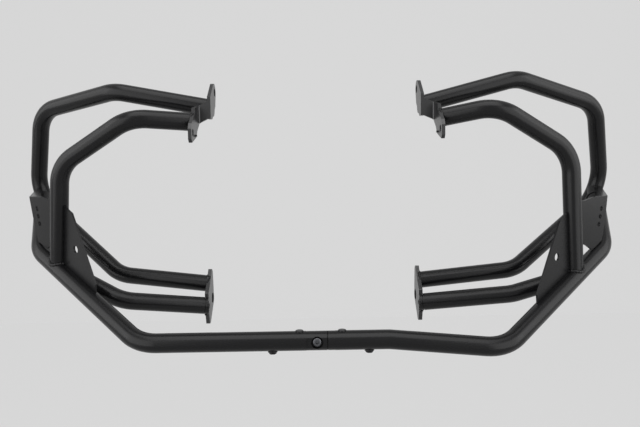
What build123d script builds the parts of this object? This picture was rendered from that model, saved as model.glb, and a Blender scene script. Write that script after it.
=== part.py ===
from build123d import *
import os

# Motorcycle crash bars: two welded side frames bolted together under the engine.
# X runs across the machine, Y to the rear, Z up. The origin is the middle of the centre joint.

# Tube stock
tube_d = 27.0
tube_wall = 2.0
bend_r = 60.0
weld_gap = 0.1

# Sheet stock
lug_t = 5.0
mount_plate_t = 6.0
gusset_t = 3.0
gusset_set_back = 1.0
gusset_hole_d = 12.0
outer_hole_d = 8.0
outer_lean = 0.07
tab_relief_d = 3.0
tab_fold_r = 1.5
foot_behind = 3.0

# Upper bracket: one strip folded twice, with the outlines of its lugs as Y and Z
web_back_y = 118.0
web_bottom = 314.5
web_top = 341.0
web_fall = 6.5
fold_inner_r = 2.5
rear_end_y = 150.5
rear_end_z = 358.5
rear_end_r = 13.5
rear_hole_shift = 3.0
rear_hole_d = 12.0
front_hole_y = 65.5
front_hole_z = 292.0
front_hole_d = 10.0
front_outline = [(85, 329), (84, 321), (60, 305), (54.5, 297), (54.5, 282), (59, 277), (91, 286), (98.5, 295.5)]
pip_y = 82.5
pip_z = 288.0
pip_d = 3.0
pip_h = 2.5

# Lower mount plate
plate_hole_y = 176.0
plate_hole_z = 22.8
plate_hole_d = 17.0
plate_rim = 3.5
plate_top_y = 177.0
plate_top_z = 72.0
plate_low_y = 148.0
plate_low_z = -13.0
plate_front_y = 139.5
plate_corner_r = 2.5

# Brace end plug
plug_collar = 7.5
plug_neck = 1.0
plug_spigot = 18.0
plug_bore = 8.0

# Centre joint
tube_gap = 40.0
joint_collar = 10.2
lap_clear = 0.9
lap_face = 0.1
insert_d = 26.6
insert_clear = 0.1
insert_depth = 62.0
flat_y = 11.4
seat_y = 5.5
seat_d = 17.0
screw_d = 8.0
screw_clear = 0.2
screw_length = 20.0
head_d = 14.0
head_h = 4.4
head_dome_r = 3.2
hex_key = 5.0
hex_key_depth = 2.6
nut_af = 13.0
nut_h = 6.5

# Screws that lock the inserts in the tubes
lock_d = 6.0
lock_clear = 0.1
lock_floor = 5.0
top_lock_from_end = 9.5
top_head_d = 11.5
top_head_rise = 1.4
top_head_edge = 1.0
low_lock_from_end = 47.0
low_flange_d = 13.5
low_flange_rise = 1.4
low_hex_af = 9.0
low_hex_h = 2.6

tube_r = tube_d / 2
bore_r = tube_r - tube_wall
sleeve_r = tube_r + weld_gap
web_front_y = web_back_y - lug_t
tube_end_x = tube_gap / 2

# Where the tubes land on the lugs and the lower plate, as Y and Z
rear_top = (136.5, 333.0)
front_top = (90.0, 308.5)
rear_low = (171.7, 48.0)
brace_low = (143.0, 17.0)
cut_past = 16.0

# Each side is drawn on +X. The points are the corners of the tube centre lines, and
# the plates are outlined outward and upward from the foot of the front hoop.
sides = {
    "left": {
        "rear_lug_x": 162.3,
        "front_lug_x": 180.6,
        "plate_x": 180.0,
        "rear_hoop": [(317.7, 144, 362), (469.5, 222, 340), (509.9, 278.6, 189.5), (334.8, 181.4, 63.7)],
        "front_hoop": [(271, 61, 314), (388, 92.5, 247)],
        "lower_bar": [(252, 0, 0), (455.2, 156.2, 108.7)],
        "brace_bend": (307.5, 102.8, 37.4),
        "foot": 0.8,
        "gusset": [(0, 0), (0, 112), (-24, 103), (-35.5, 100.5), (-104, 10), (-103.5, -12)],
        "gusset_hole": (-48.5, 47),
        "outer": [(0, 107), (26, 105), (47.5, 104.5), (83, 94.5), (72.5, 63), (57.5, 25.5), (31.5, 21.5), (23, 30), (0, 34)],
        "outer_holes": [(60.5, 81), (57, 69), (53.5, 57.5)],
        "tab": 0.86,
    },
    "right": {
        "rear_lug_x": 158.4,
        "front_lug_x": 178.6,
        "plate_x": 159.0,
        "rear_hoop": [(315.3, 148, 372), (465.7, 204, 334), (512.2, 278, 182.4), (323.2, 174.1, 62.8)],
        "front_hoop": [(261, 61, 322), (380, 92.5, 255)],
        "lower_bar": [(95, 0, 0), (253.8, -8.9, -12.1), (461.1, 152.6, 100.4)],
        "brace_bend": (299.1, 108.5, 36),
        "foot": 0.684,
        "gusset": [(0, 0), (0, 104), (-17, 100), (-36, 91), (-102, -6.5), (-101.5, -23)],
        "gusset_hole": (-47.5, 38.5),
        "outer": [(0, 115), (31.5, 112), (59.5, 114.5), (95, 111), (87.5, 77), (76.5, 41.5), (48, 31), (29.5, 43), (0, 46)],
        "outer_holes": [(76.5, 93), (73, 80.5), (68.5, 68.5)],
        "tab": 0.905,
    },
}


def centre_line(points):
    with BuildLine() as line:
        FilletPolyline(*points, radius=bend_r)
    return line.line


def swept(path, outer, inner=0.0):
    with BuildPart() as run:
        with BuildSketch(Plane(origin=path @ 0, z_dir=path % 0)):
            Circle(outer)
            if inner:
                Circle(inner, mode=Mode.SUBTRACT)
        sweep(path=path)
    return run.part


def trimmed(body, *cutters):
    with BuildPart() as cut:
        add(body)
        for cutter in cutters:
            add(cutter, mode=Mode.SUBTRACT)
    return cut.part.solids().sort_by(SortBy.VOLUME)[-1]


def inboard_of(x, middle):
    with BuildPart() as block:
        with BuildSketch(Plane.YZ.offset(x)):
            with Locations(middle):
                Rectangle(4 * tube_d, 4 * tube_d)
        extrude(amount=-4 * tube_d)
    return block.part


def rod(start, along, radius, length):
    with BuildPart() as bar:
        with BuildSketch(Plane(origin=start, z_dir=along)):
            Circle(radius)
        extrude(amount=length)
    return bar.part


def finish(body, side, name):
    with BuildPart() as piece:
        add(body)
        if side == "left":
            mirror(about=Plane.YZ, mode=Mode.REPLACE)
    piece.part.label = name
    export_step(piece.part, f"parts/{name}.step")
    print(name, round(piece.part.volume / 1000, 1), "cm3", len(piece.part.solids()), "solid")


def upper_bracket(rear_x, front_x):
    rear_face = rear_x + lug_t
    web_top_out = web_top - web_fall
    web_bottom_out = web_bottom - web_fall
    with BuildPart() as bracket:
        with BuildSketch(Plane.YZ.offset(rear_x)):
            with BuildLine():
                Polyline(
                    (web_front_y, web_bottom), (web_front_y, web_top + 1.3 * lug_t),
                    (rear_end_y - 0.5 * rear_end_r, rear_end_z + 0.87 * rear_end_r),
                    (rear_end_y + 0.82 * rear_end_r, rear_end_z - 0.57 * rear_end_r),
                    (rear_end_y + 0.5 * rear_end_r, rear_end_z - 1.6 * rear_end_r),
                    (web_front_y + rear_end_r, web_bottom), close=True)
            make_face()
            with Locations((rear_end_y, rear_end_z)):
                Circle(rear_end_r)
            with Locations(rear_top):
                Circle(tube_r)
            with Locations((rear_end_y + rear_hole_shift, rear_end_z)):
                Circle(rear_hole_d / 2, mode=Mode.SUBTRACT)
        extrude(amount=lug_t)
        with BuildSketch(Plane.XZ.offset(-web_back_y)):
            with BuildLine():
                Polyline(
                    (rear_face, web_bottom), (rear_face, web_top),
                    (front_x, web_top_out), (front_x, web_bottom_out), close=True)
            make_face()
        extrude(amount=lug_t)
        with BuildSketch(Plane.YZ.offset(front_x)):
            with BuildLine():
                Polyline((web_back_y, web_top_out), *front_outline, (web_back_y, web_bottom_out), close=True)
            make_face()
            with Locations((front_hole_y, front_hole_z)):
                Circle(front_hole_d / 2, mode=Mode.SUBTRACT)
        extrude(amount=lug_t)
        with BuildSketch(Plane.XY.offset(web_bottom_out)):
            with Locations((front_x - fold_inner_r / 2, web_front_y - fold_inner_r / 2)):
                Rectangle(fold_inner_r, fold_inner_r)
            with Locations((front_x - fold_inner_r, web_front_y - fold_inner_r)):
                Circle(fold_inner_r, mode=Mode.SUBTRACT)
        extrude(amount=web_top_out - web_bottom_out)
        with BuildSketch(Plane.YZ.offset(front_x)):
            with Locations((pip_y, pip_z)):
                Circle(pip_d / 2)
        extrude(amount=-pip_h)
    return bracket.part


def lower_plate(x):
    rim_r = plate_hole_d / 2 + plate_rim
    with BuildPart() as plate:
        with BuildSketch(Plane.YZ.offset(x)):
            with BuildLine():
                Polyline(
                    (plate_top_y, plate_top_z), (rear_low[0] - tube_r, rear_low[1] + 0.3 * tube_r),
                    (plate_front_y, brace_low[1] + 1.6 * tube_r), (plate_front_y, brace_low[1] - tube_r),
                    (plate_low_y - 4, plate_low_z), (plate_low_y + 4, plate_low_z),
                    (plate_hole_y + 0.7 * rim_r, plate_hole_z - 0.7 * rim_r),
                    (plate_hole_y + 0.9 * rim_r, plate_hole_z + rim_r),
                    (rear_low[0] + 0.9 * tube_r, plate_top_z - 6), close=True)
            outline = make_face()
            fillet(outline.vertices(), radius=plate_corner_r)
            with Locations((plate_hole_y, plate_hole_z)):
                Circle(rim_r)
                Circle(plate_hole_d / 2, mode=Mode.SUBTRACT)
        extrude(amount=mount_plate_t)
    return plate.part


def flat_plate(frame, corners, holes, hole_d):
    with BuildPart() as plate:
        with BuildSketch(frame):
            with BuildLine():
                Polyline(*corners, close=True)
            make_face()
            with Locations(*holes):
                Circle(hole_d / 2, mode=Mode.SUBTRACT)
        extrude(amount=gusset_t / 2, both=True)
    return plate.part


# The outer plate's top corner is folded back as a three-cornered tab that reaches the rear hoop
def with_tab(plate, frame, outer_corner, inner_corner, end):
    front = frame.offset(gusset_t / 2)
    start = front.from_local_coords(Vector(*outer_corner))
    inner = front.from_local_coords(Vector(*inner_corner))
    level = Plane(origin=start, x_dir=inner - start, z_dir=(end - start).cross(inner - start))
    with BuildPart() as folded:
        add(plate)
        with BuildSketch(level):
            with BuildLine():
                Polyline((0, 0), ((inner - start).length, 0), tuple(level.to_local_coords(end))[:2], close=True)
            make_face()
        extrude(amount=-gusset_t)
        fold = folded.edges().sort_by_distance((start + inner) * 0.5)[0]
        fillet(fold, radius=tab_fold_r)
        add(rod(inner - frame.z_dir * 2 * gusset_t, frame.z_dir, tab_relief_d / 2, 4 * gusset_t), mode=Mode.SUBTRACT)
    return folded.part


def brace_plug(start, along):
    with BuildPart() as plug:
        steps = [(-cut_past, tube_r, cut_past + plug_collar), (plug_collar, bore_r - insert_clear, plug_neck + plug_spigot)]
        for begin, radius, length in steps:
            with BuildSketch(Plane(origin=start + along * begin, z_dir=along)):
                Circle(radius)
                Circle(plug_bore / 2, mode=Mode.SUBTRACT)
            extrude(amount=length)
    return plug.part


def lock_rods(radius, low, high):
    with BuildPart() as rods:
        with BuildSketch(Plane.XY.offset(low)):
            with Locations((tube_end_x + top_lock_from_end, 0)):
                Circle(radius)
        extrude(amount=high - low)
        with BuildSketch(Plane.XY.offset(-low)):
            with Locations((tube_end_x + low_lock_from_end, 0)):
                Circle(radius)
        extrude(amount=low - high)
    return rods.part


def joint_insert(collar, far_collar, front):
    root = tube_end_x - collar
    tip = far_collar + lap_clear - tube_end_x
    screw_x = (root + far_collar - tube_end_x) / 2
    side = -1 if front else 1
    with BuildPart() as insert:
        with BuildSketch(Plane.YZ.offset(tube_end_x)):
            Circle(bore_r - insert_clear)
        extrude(amount=insert_depth)
        if collar:
            with BuildSketch(Plane.YZ.offset(root)):
                Circle(insert_d / 2)
            extrude(amount=collar)
        with BuildSketch(Plane.YZ.offset(tip)):
            Circle(insert_d / 2)
            with Locations((-side * (insert_d - lap_face) / 2, 0)):
                Rectangle(insert_d, insert_d, mode=Mode.SUBTRACT)
            with Locations((side * (flat_y + insert_d / 2), 0)):
                Rectangle(insert_d, insert_d, mode=Mode.SUBTRACT)
        extrude(amount=root - tip)
        with BuildSketch(Plane.XZ):
            with Locations((screw_x, 0)):
                Circle(screw_d / 2 + screw_clear)
        extrude(amount=tube_d, both=True, mode=Mode.SUBTRACT)
        with BuildSketch(Plane.XZ.offset(-side * seat_y)):
            with Locations((screw_x, 0)):
                Circle(seat_d / 2)
        extrude(amount=-side * tube_d, mode=Mode.SUBTRACT)
    return insert.part


os.makedirs("parts", exist_ok=True)

bore_sleeve = rod(Vector(-tube_gap, 0, 0), Vector(1, 0, 0), sleeve_r, 4 * tube_gap)
for side, size in sides.items():
    rear_face = size["rear_lug_x"] + lug_t
    front_face = size["front_lug_x"] + lug_t
    plate_face = size["plate_x"] + mount_plate_t

    # Rear hoop, from the rear lug round to the lower plate
    bends = [Vector(*p) for p in size["rear_hoop"]]
    top = Vector(rear_face, *rear_top)
    low = Vector(plate_face, *rear_low)
    top_in = top - (bends[0] - top).normalized() * cut_past
    low_in = low - (bends[-1] - low).normalized() * cut_past
    rear_path = centre_line([top_in] + bends + [low_in])
    rear_hoop = trimmed(swept(rear_path, tube_r, bore_r), inboard_of(rear_face, rear_top),
                        inboard_of(plate_face, rear_low))
    rear_sleeve = swept(rear_path, sleeve_r)

    # Lower bar, coped where it meets the rear hoop's bend
    corners = [Vector(tube_end_x, 0, 0)] + [Vector(*p) for p in size["lower_bar"]]
    hoop_arc = rear_path.edges().filter_by(GeomType.CIRCLE).sort_by(lambda e: (e @ 0.5).X)[-1]
    lower_path = centre_line(corners + [hoop_arc @ 0.5])
    lower_sleeve = swept(lower_path, sleeve_r)
    lower_bar = trimmed(swept(lower_path, tube_r, bore_r), rear_sleeve,
                        lock_rods(lock_d / 2 + lock_clear, lock_floor, tube_d))

    # Front hoop, from the front lug down to its foot, whose axis passes just behind the lower bar's
    hoop_upright = bends[1], bends[2]
    bends = [Vector(*p) for p in size["front_hoop"]]
    out = (corners[-1] - corners[-2]).normalized()
    crossing = corners[-2] + (corners[-1] - corners[-2]) * size["foot"]
    foot = crossing - out.cross(bends[-1] - crossing).normalized() * foot_behind
    top = Vector(front_face, *front_top)
    top_in = top - (bends[0] - top).normalized() * cut_past
    front_path = centre_line([top_in] + bends + [foot])
    front_hoop = trimmed(swept(front_path, tube_r, bore_r), inboard_of(front_face, front_top), lower_sleeve)
    front_sleeve = swept(front_path, sleeve_r)

    # Brace, from the lower plate to the same foot
    bend = Vector(*size["brace_bend"])
    start = Vector(size["plate_x"], *brace_low)
    along = (bend - start).normalized()
    plug_end = start + along * (plug_collar + plug_neck)
    brace_path = centre_line([plug_end, bend, foot])
    brace = trimmed(swept(brace_path, tube_r, bore_r), lower_sleeve, front_sleeve)
    brace_sleeve = swept(brace_path, sleeve_r)
    plug = trimmed(brace_plug(start, along), inboard_of(size["plate_x"], brace_low))
    plug_sleeve = rod(start - along * tube_d, along, sleeve_r, 2 * tube_d)

    # Flat plates in the plane of the front hoop's leg and the lower bar
    up = (bends[-1] - foot).normalized()
    facing = out.cross(up).normalized()
    frame = Plane(origin=foot - facing * gusset_set_back, x_dir=up.cross(facing), z_dir=facing)
    gusset = trimmed(flat_plate(frame, size["gusset"], [size["gusset_hole"]], gusset_hole_d),
                     front_sleeve, lower_sleeve, brace_sleeve)
    leant = Plane(origin=frame.origin, x_dir=frame.x_dir + frame.z_dir * outer_lean,
                  z_dir=frame.z_dir - frame.x_dir * outer_lean)
    outer = flat_plate(leant, size["outer"], size["outer_holes"], outer_hole_d)
    tab_end = hoop_upright[0] + (hoop_upright[1] - hoop_upright[0]) * size["tab"]
    outer = with_tab(outer, leant, size["outer"][3], size["outer"][2], tab_end)
    outer = trimmed(outer, front_sleeve, lower_sleeve, rear_sleeve)

    front = side == "left"
    collars = (0, joint_collar) if front else (joint_collar, 0)
    insert = trimmed(joint_insert(*collars, front), lock_rods(lock_d / 2 + lock_clear, lock_floor, tube_d))
    screw_rods = lock_rods(lock_d / 2, lock_floor + 0.5, tube_r)

    finish(rear_hoop, side, f"{side}_rear_hoop")
    finish(front_hoop, side, f"{side}_front_hoop")
    finish(lower_bar, side, f"{side}_lower_bar")
    finish(brace, side, f"{side}_front_brace")
    finish(plug, side, f"{side}_brace_plug")
    finish(upper_bracket(size["rear_lug_x"], size["front_lug_x"]), side, f"{side}_upper_bracket")
    finish(trimmed(lower_plate(size["plate_x"]), plug_sleeve), side, f"{side}_lower_plate")
    finish(gusset, side, f"{side}_front_gusset")
    finish(outer, side, f"{side}_outer_plate")
    finish(insert, side, f"{side}_joint_insert")

    with BuildPart() as top_screw:
        with BuildSketch(Plane.XY.offset(tube_r / 2)):
            with Locations((tube_end_x + top_lock_from_end, 0)):
                Circle(top_head_d / 2)
        extrude(amount=tube_r / 2 + top_head_rise)
        fillet(top_screw.edges().group_by(Axis.Z)[-1], radius=top_head_edge)
        add(bore_sleeve, mode=Mode.SUBTRACT)
        with BuildSketch(Plane.XY.offset(lock_floor + 0.5)):
            with Locations((tube_end_x + top_lock_from_end, 0)):
                Circle(lock_d / 2)
        extrude(amount=tube_r - lock_floor)
    finish(top_screw.part, side, f"{side}_top_lock_screw")

    with BuildPart() as low_screw:
        with BuildSketch(Plane.XY.offset(-tube_r / 2)):
            with Locations((tube_end_x + low_lock_from_end, 0)):
                Circle(low_flange_d / 2)
        extrude(amount=-tube_r / 2 - low_flange_rise)
        add(bore_sleeve, mode=Mode.SUBTRACT)
        with BuildSketch(Plane.XY.offset(-tube_r - low_flange_rise)):
            with Locations((tube_end_x + low_lock_from_end, 0)):
                RegularPolygon(low_hex_af / 2, 6, major_radius=False)
        extrude(amount=-low_hex_h)
        with BuildSketch(Plane.XY.offset(-lock_floor - 0.5)):
            with Locations((tube_end_x + low_lock_from_end, 0)):
                Circle(lock_d / 2)
        extrude(amount=lock_floor - tube_r)
    finish(low_screw.part, side, f"{side}_low_lock_screw")

# Screw and nut of the centre joint
joint_x = -joint_collar / 2
with BuildPart() as screw:
    with BuildSketch(Plane.XZ.offset(seat_y)):
        with Locations((joint_x, 0)):
            Circle(head_d / 2)
    extrude(amount=head_h)
    fillet(screw.edges().group_by(Axis.Y)[0], radius=head_dome_r)
    with BuildSketch(Plane.XZ.offset(seat_y + head_h)):
        with Locations((joint_x, 0)):
            RegularPolygon(hex_key / 2, 6, major_radius=False)
    extrude(amount=-hex_key_depth, mode=Mode.SUBTRACT)
    with BuildSketch(Plane.XZ.offset(seat_y)):
        with Locations((joint_x, 0)):
            Circle(screw_d / 2)
    extrude(amount=-screw_length)
finish(screw.part, "centre", "joint_screw")

with BuildPart() as nut:
    with BuildSketch(Plane.XZ.offset(-seat_y)):
        with Locations((joint_x, 0)):
            RegularPolygon(nut_af / 2, 6, major_radius=False)
            Circle(screw_d / 2 + 0.05, mode=Mode.SUBTRACT)
    extrude(amount=-nut_h)
finish(nut.part, "centre", "joint_nut")
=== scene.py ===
import math

import bpy
from mathutils import Matrix, Vector


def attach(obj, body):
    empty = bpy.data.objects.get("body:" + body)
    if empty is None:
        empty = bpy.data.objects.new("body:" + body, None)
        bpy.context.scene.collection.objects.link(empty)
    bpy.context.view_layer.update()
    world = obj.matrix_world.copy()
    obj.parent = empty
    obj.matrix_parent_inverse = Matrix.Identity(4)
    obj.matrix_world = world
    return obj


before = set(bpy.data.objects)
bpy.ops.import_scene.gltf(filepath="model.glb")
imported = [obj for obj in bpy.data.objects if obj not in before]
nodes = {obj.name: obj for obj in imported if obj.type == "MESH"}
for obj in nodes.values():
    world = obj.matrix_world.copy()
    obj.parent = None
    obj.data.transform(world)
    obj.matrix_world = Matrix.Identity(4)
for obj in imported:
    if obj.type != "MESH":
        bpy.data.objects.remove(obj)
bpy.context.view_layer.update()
sides = ("left", "right")
print("frame loaded with", len(nodes), "nodes")

mixFactor, mixFirst, mixSecond, mixResult = 0, 6, 7, 2  # where a colour mix has its sockets


def colour(hexText):
    parts = [int(hexText[i:i + 2], 16) / 255 for i in (1, 3, 5)]
    return [c / 12.92 if c <= 0.04045 else ((c + 0.055) / 1.055) ** 2.4 for c in parts] + [1.0]


# An input takes a plain value, or the output that feeds it
def setInputs(tree, node, inputs):
    for socket, value in inputs.items():
        if isinstance(value, bpy.types.NodeSocket):
            tree.links.new(value, node.inputs[socket])
        else:
            node.inputs[socket].default_value = value


def addNode(tree, kind, place, inputs=None, **settings):
    node = tree.nodes.new(kind)
    node.location = place
    for key, value in settings.items():
        setattr(node, key, value)
    setInputs(tree, node, inputs or {})
    return node


# Powder-coated steel: black and satin, with a fine orange peel. Noise scales count to the metre,
# so the peel's dimples are 2.4 mm apart, and they are drawn deeper than real so that they show
coat = {"base": "#0d0d0e", "worn": "#121213", "roughness": 0.26, "spread": 0.03,
        "specular": 0.22, "cloud": 9.0, "cloudDetail": 4.0, "peel": 420.0, "peelDetail": 2.0,
        "peelDepth": 0.00012, "peelStrength": 0.35}

# The brackets and mount plates get a lighter, glossier copy of the same coat: painted light that
# stands in for the brighter light their faces catch
paintedLightCoat = {**coat, "base": "#161617", "worn": "#1c1c1d", "roughness": 0.29,
             "specular": 0.55, "peel": 300.0, "peelDepth": 0.00015}


def powderCoat(name, values):
    material = bpy.data.materials.new(name)
    material.use_nodes = True
    tree = material.node_tree
    place = addNode(tree, "ShaderNodeTexCoord", (-1100, 0)).outputs["Object"]
    cloud = addNode(tree, "ShaderNodeTexNoise", (-850, 200),
                    {"Vector": place, "Scale": values["cloud"], "Detail": values["cloudDetail"]})
    peel = addNode(tree, "ShaderNodeTexNoise", (-850, -250),
                   {"Vector": place, "Scale": values["peel"], "Detail": values["peelDetail"]})
    tone = addNode(tree, "ShaderNodeMix", (-400, 250),
                   {mixFactor: cloud.outputs["Fac"], mixFirst: colour(values["base"]),
                    mixSecond: colour(values["worn"])}, data_type="RGBA")
    gloss = addNode(tree, "ShaderNodeMapRange", (-400, 0),
                    {"Value": cloud.outputs["Fac"],
                     "To Min": values["roughness"] - values["spread"],
                     "To Max": values["roughness"] + values["spread"]})
    bump = addNode(tree, "ShaderNodeBump", (-400, -250),
                   {"Height": peel.outputs["Fac"], "Strength": values["peelStrength"],
                    "Distance": values["peelDepth"]})
    setInputs(tree, tree.nodes["Principled BSDF"],
              {"Base Color": tone.outputs[mixResult], "Roughness": gloss.outputs["Result"],
               "Normal": bump.outputs["Normal"], "Specular IOR Level": values["specular"]})
    return material


# Zinc-plated steel: a darker grey metal with a soft sheen. Its grain is drawn 4 mm wide, far
# coarser than real, so that it shows
zinc = {"base": "#5f6063", "dull": "#48494c", "metallic": 0.85, "roughness": 0.34,
        "grain": 260.0, "grainDetail": 5.0, "grainDepth": 0.00005, "grainStrength": 0.3}


def platedSteel(name, values):
    material = bpy.data.materials.new(name)
    material.use_nodes = True
    tree = material.node_tree
    place = addNode(tree, "ShaderNodeTexCoord", (-900, 0)).outputs["Object"]
    grain = addNode(tree, "ShaderNodeTexNoise", (-650, 0),
                    {"Vector": place, "Scale": values["grain"], "Detail": values["grainDetail"]})
    tone = addNode(tree, "ShaderNodeMix", (-350, 150),
                   {mixFactor: grain.outputs["Fac"], mixFirst: colour(values["dull"]),
                    mixSecond: colour(values["base"])}, data_type="RGBA")
    bump = addNode(tree, "ShaderNodeBump", (-350, -150),
                   {"Height": grain.outputs["Fac"], "Strength": values["grainStrength"],
                    "Distance": values["grainDepth"]})
    setInputs(tree, tree.nodes["Principled BSDF"],
              {"Base Color": tone.outputs[mixResult], "Metallic": values["metallic"],
               "Roughness": values["roughness"], "Normal": bump.outputs["Normal"]})
    return material


black = powderCoat("powder-coated steel", coat)
paintedLightBlack = powderCoat("powder coat with painted light", paintedLightCoat)
steel = platedSteel("zinc-plated steel", zinc)
for name, piece in nodes.items():
    piece.data.materials.clear()
    if name in ("joint_screw", "joint_nut"):
        piece.data.materials.append(steel)
    elif name.endswith(("upper_bracket", "lower_plate")):
        # Painted light: these parts get the lighter, glossier copy of the coat
        piece.data.materials.append(paintedLightBlack)
    else:
        piece.data.materials.append(black)

# Sheet parts, turned parts and the lower bar's cut ends have their edges broken, so that the
# coat shows a lit line there
brokenEdge = {"segments": 2, "sharperThan": 40}
edgeWidths = {"upper_bracket": 0.0007, "lower_plate": 0.0007, "front_gusset": 0.0004,
              "outer_plate": 0.0004, "brace_plug": 0.0005, "joint_insert": 0.0005,
              "lower_bar": 0.0004}
for side in sides:
    for name, width in edgeWidths.items():
        bevel = nodes[f"{side}_{name}"].modifiers.new("broken edge", "BEVEL")
        bevel.width = width
        bevel.segments = brokenEdge["segments"]
        bevel.limit_method = "ANGLE"
        bevel.angle_limit = math.radians(brokenEdge["sharperThan"])
        bevel.harden_normals = False
print("materials and edges done")

# Weld beads: a rippled ring round each tube's end, laid on what the end meets, in millimetres.
# Rays run down the tube from runUp above its end, and reach is how far apart they may land
bead = {"tube": 13.5, "stand": 0.4, "count": 96, "ripple": 0.14, "ripples": 24, "reach": 16.0,
        "runUp": 45.0, "miss": 1000.0, "roundness": 2}

# How thick each bead is, from its middle, and the pieces it lies on
beadKinds = {
    "rear_lug": (1.5, ("upper_bracket",)),
    "front_lug": (1.5, ("upper_bracket",)),
    "low_plate": (1.5, ("lower_plate",)),
    "foot": (2.6, ("lower_bar",)),
    "bar_end": (1.5, ("rear_hoop",)),
    "brace_end": (1.5, ("lower_bar", "front_hoop")),
    "plug": (1.5, ("lower_plate",)),
}

# The centre of each tube's end, and a point further up the tube
tubeEnds = {
    "left": {
        "rear_lug": ((-167.3, 136.5, 333.0), (-317.7, 144.0, 362.0)),
        "front_lug": ((-185.6, 90.0, 308.5), (-271.0, 61.0, 314.0)),
        "low_plate": ((-186.0, 171.7, 48.0), (-334.8, 181.4, 63.7)),
        "foot": ((-412.7, 127.3, 87.1), (-388.0, 92.5, 247.0)),
        "bar_end": ((-495.7, 267.7, 194.9), (-455.2, 156.2, 108.7)),
        "brace_end": ((-412.7, 127.3, 87.1), (-307.5, 102.8, 37.4)),
        "plug": ((-186.0, 143.0, 17.0), (-307.5, 102.8, 37.4)),
    },
    "right": {
        "rear_lug": ((163.4, 136.5, 333.0), (315.3, 148.0, 372.0)),
        "front_lug": ((183.6, 90.0, 308.5), (261.0, 61.0, 322.0)),
        "low_plate": ((165.0, 171.7, 48.0), (323.2, 174.1, 62.8)),
        "foot": ((393.8, 103.9, 64.8), (380.0, 92.5, 255.0)),
        "bar_end": ((494.9, 263.8, 188.8), (461.1, 152.6, 100.4)),
        "brace_end": ((393.8, 103.9, 64.8), (299.1, 108.5, 36.0)),
        "plug": ((165.0, 143.0, 17.0), (299.1, 108.5, 36.0)),
    },
}


def weldBead(name, tubeEnd, width, carriers):
    centre, upTube = (Vector(point) / 1000 for point in tubeEnd)
    back = (upTube - centre).normalized()
    across = back.cross(Vector((0, 0, 1))).normalized()
    over = back.cross(across)
    radius = (bead["tube"] + bead["stand"]) / 1000
    runUp = bead["runUp"] / 1000
    count = bead["count"]
    turns = [2 * math.pi * i / count for i in range(count)]
    rim = [across * math.cos(turn) + over * math.sin(turn) for turn in turns]
    depths = []
    for spread in rim:
        start = centre + spread * radius + back * runUp
        hits = []
        for carrier in carriers:
            hit, spot = carrier.ray_cast(start, -back)[:2]
            if hit:
                hits.append((start - spot).length)
        depths.append(min(hits, default=bead["miss"] / 1000))
    deepest = min(depths) + bead["reach"] / 1000
    landed = [i for i in range(count) if depths[i] < deepest]
    # Where the tube overhangs the sheet's edge, the bead goes straight on between its landed ends
    for i in range(count):
        if i not in landed:
            before = max((k for k in landed if k < i), default=landed[-1] - count)
            after = min((k for k in landed if k > i), default=landed[0] + count)
            share = (i - before) / (after - before)
            depths[i] = depths[before % count] * (1 - share) + depths[after % count] * share
    bpy.ops.object.select_all(action="DESELECT")
    bpy.ops.mesh.primitive_circle_add(vertices=count, radius=radius)
    ring = bpy.context.object
    ring.name = name
    for vertex, spread, depth in zip(ring.data.vertices, rim, depths):
        vertex.co = centre + spread * radius + back * (runUp - depth)
    bpy.ops.object.convert(target="CURVE")
    ring = bpy.context.object
    ring.data.bevel_depth = width / 1000
    ring.data.bevel_resolution = bead["roundness"]
    for i, point in enumerate(ring.data.splines[0].points):
        wave = math.sin(2 * math.pi * bead["ripples"] * i / count)
        point.radius = 1 + bead["ripple"] * wave
    bpy.ops.object.convert(target="MESH")
    ring = bpy.context.object
    bpy.ops.object.shade_smooth()
    ring.data.materials.clear()
    ring.data.materials.append(black)
    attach(ring, "root")


for side in sides:
    for name, (width, carriers) in beadKinds.items():
        weldBead(f"{side}_{name}_bead", tubeEnds[side][name], width,
                 [nodes[f"{side}_{carrier}"] for carrier in carriers])
print("weld beads done")


# 1 for rays from the camera or a glossy surface, and 0 for those that only carry light
def seenRays(tree, x):
    rays = addNode(tree, "ShaderNodeLightPath", (x, 200)).outputs
    seen = addNode(tree, "ShaderNodeMath", (x + 200, 200),
                   {0: rays["Is Camera Ray"], 1: rays["Is Glossy Ray"]}, operation="MAXIMUM")
    return seen.outputs[0]


# Floor and backdrop: one pale sweep, well below and behind, that glows where it is seen
sweep = {"grey": "#dbdbdb", "floorZ": -0.9, "backY": 3.5, "width": 14.0, "high": 6.0,
         "front": -3.0, "glow": 0.92}
bpy.ops.mesh.primitive_plane_add(size=1)
floor = bpy.context.object
floor.name = "floor"
floor.scale = (sweep["width"], sweep["backY"] - sweep["front"], 1)
floor.location = (0, (sweep["backY"] + sweep["front"]) / 2, sweep["floorZ"])
bpy.ops.mesh.primitive_plane_add(size=1, rotation=(math.radians(90), 0, 0))
backdrop = bpy.context.object
backdrop.name = "backdrop"
backdrop.scale = (sweep["width"], sweep["high"] * 2, 1)
backdrop.location = (0, sweep["backY"], sweep["floorZ"] + sweep["high"])
paper = bpy.data.materials.new("backdrop paper")
paper.use_nodes = True
tree = paper.node_tree
tree.nodes.clear()
share = addNode(tree, "ShaderNodeMath", (0, 200),
                {0: seenRays(tree, -400), 1: sweep["glow"]}, operation="MULTIPLY")
matt = addNode(tree, "ShaderNodeBsdfDiffuse", (-100, -50), {"Color": colour(sweep["grey"])})
glow = addNode(tree, "ShaderNodeEmission", (-100, -200),
               {"Color": colour(sweep["grey"]), "Strength": 1.0})
mix = addNode(tree, "ShaderNodeMixShader", (200, 0),
              {"Fac": share.outputs[0], 1: matt.outputs["BSDF"], 2: glow.outputs["Emission"]})
addNode(tree, "ShaderNodeOutputMaterial", (400, 0), {"Surface": mix.outputs["Shader"]})
for surface in (floor, backdrop):
    surface.data.materials.append(paper)

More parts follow.
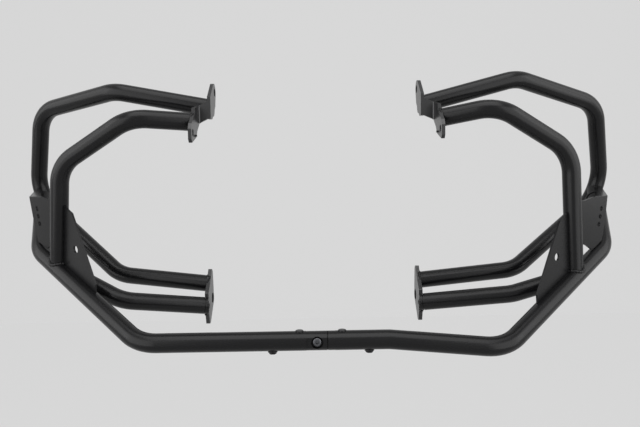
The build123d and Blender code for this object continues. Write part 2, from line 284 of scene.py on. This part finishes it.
# The world gives little light, and is pale where it is seen
worldLight = {"lit": 0.12, "addedWhereSeen": 0.86}
world = bpy.data.worlds.new("studio")
bpy.context.scene.world = world
world.use_nodes = True
tree = world.node_tree
strength = addNode(tree, "ShaderNodeMath", (-400, 0),
                   {0: seenRays(tree, -800), 1: worldLight["addedWhereSeen"],
                    2: worldLight["lit"]}, operation="MULTIPLY_ADD")
setInputs(tree, tree.nodes["Background"],
          {"Color": colour(sweep["grey"]), "Strength": strength.outputs[0]})
print("floor, backdrop and world done")

# Softboxes: one above, and a front and a side one on the right that the left repeats
softboxes = {
    "top softbox": {"place": (0, -0.85, 2.5), "target": (0, -0.1, 0.2),
                    "size": (2.4, 2.4), "power": 44},
    "front softbox": {"place": (1.9, -1.7, 0.6), "target": (0, 0.1, 0.3),
                      "size": (2.4, 2.9), "power": 42},
    "side softbox": {"place": (2.15, -0.3, 0.95), "target": (0.2, 0.1, 0.15),
                     "size": (1.4, 2.0), "power": 15},
}


def hangSoftbox(name, k=1):
    box = softboxes[name]
    place, target = (Vector((k * x, y, z)) for x, y, z in (box["place"], box["target"]))
    light = bpy.data.lights.new(name, "AREA")
    light.shape = "RECTANGLE"
    light.size, light.size_y = box["size"]
    light.energy = box["power"]
    lamp = bpy.data.objects.new(name, light)
    bpy.context.scene.collection.objects.link(lamp)
    lamp.location = place
    lamp.rotation_mode = "QUATERNION"
    lamp.rotation_quaternion = (target - place).to_track_quat("-Z", "Y")


hangSoftbox("top softbox")
for k in (-1, 1):
    hangSoftbox("front softbox", k)
    hangSoftbox("side softbox", k)
print("softboxes done")

# Camera at the photograph's angle: pitched down and a little rolled, in degrees
view = {"place": (0.001821, -0.812520, 0.247509), "pitch": 5.0, "roll": 1.0, "lens": 33.75,
        "sensor": 36.0, "near": 0.01}
pitch = math.radians(view["pitch"])
roll = math.radians(view["roll"])
look = Vector((0, math.cos(pitch), -math.sin(pitch)))
levelRight = Vector((1, 0, 0))
levelUp = levelRight.cross(look)
right = levelRight * math.cos(roll) - levelUp * math.sin(roll)
up = levelRight * math.sin(roll) + levelUp * math.cos(roll)
turned = Matrix((right, up, -look)).transposed().to_4x4()
cameraData = bpy.data.cameras.new("camera")
cameraData.lens = view["lens"]
cameraData.sensor_width = view["sensor"]
cameraData.clip_start = view["near"]
camera = bpy.data.objects.new("camera", cameraData)
bpy.context.scene.collection.objects.link(camera)
camera.matrix_world = Matrix.Translation(view["place"]) @ turned
bpy.context.scene.camera = camera
bpy.context.scene.view_settings.view_transform = "Standard"
print("camera done")
